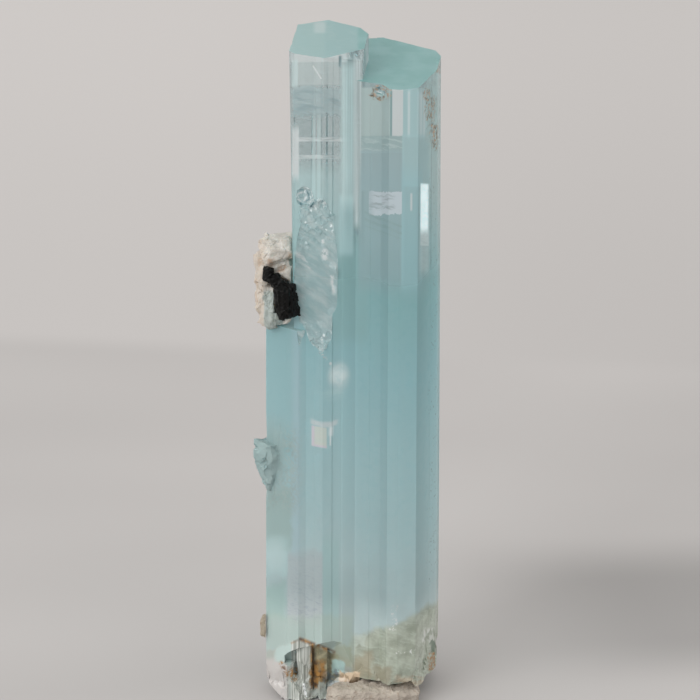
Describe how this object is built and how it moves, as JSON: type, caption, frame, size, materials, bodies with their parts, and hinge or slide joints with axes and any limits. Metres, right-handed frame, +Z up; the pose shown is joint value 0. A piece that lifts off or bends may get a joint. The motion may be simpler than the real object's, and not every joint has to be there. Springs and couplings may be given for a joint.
{
  "type": "aquamarine crystal specimen",
  "caption": "Upright blue-green aquamarine: six-sided prisms grown side by side, flat tops, broken base, with a feldspar and schorl knob, resting on a pale stone.",
  "frame": {"origin": "middle of the underside of the whole specimen, at the surface it stands on", "axes": "+Z up, along the prisms; -Y towards the front, where the scar, the knob and the schorl are seen; +X towards the lower of the two tall prisms"},
  "size_m": [0.0215, 0.0178, 0.08],
  "materials": {
    "aquamarine": "clear to cloudy blue-green crystal, glossy prism faces, milky and iron-stained at the broken base",
    "feldspar": "cream, uneven, with brown stains",
    "schorl": "black, ribbed, half gloss",
    "stained_feldspar": "brownish, uneven",
    "pale_stone": "matt, fine-grained"
  },
  "bodies": {
    "root": {"aquamarine_crystal": "aquamarine", "feldspar_knob": "feldspar", "schorl_crystals": "schorl", "feldspar_flake": "stained_feldspar", "feldspar_foot": "pale_stone"}
  },
  "joints": []
}
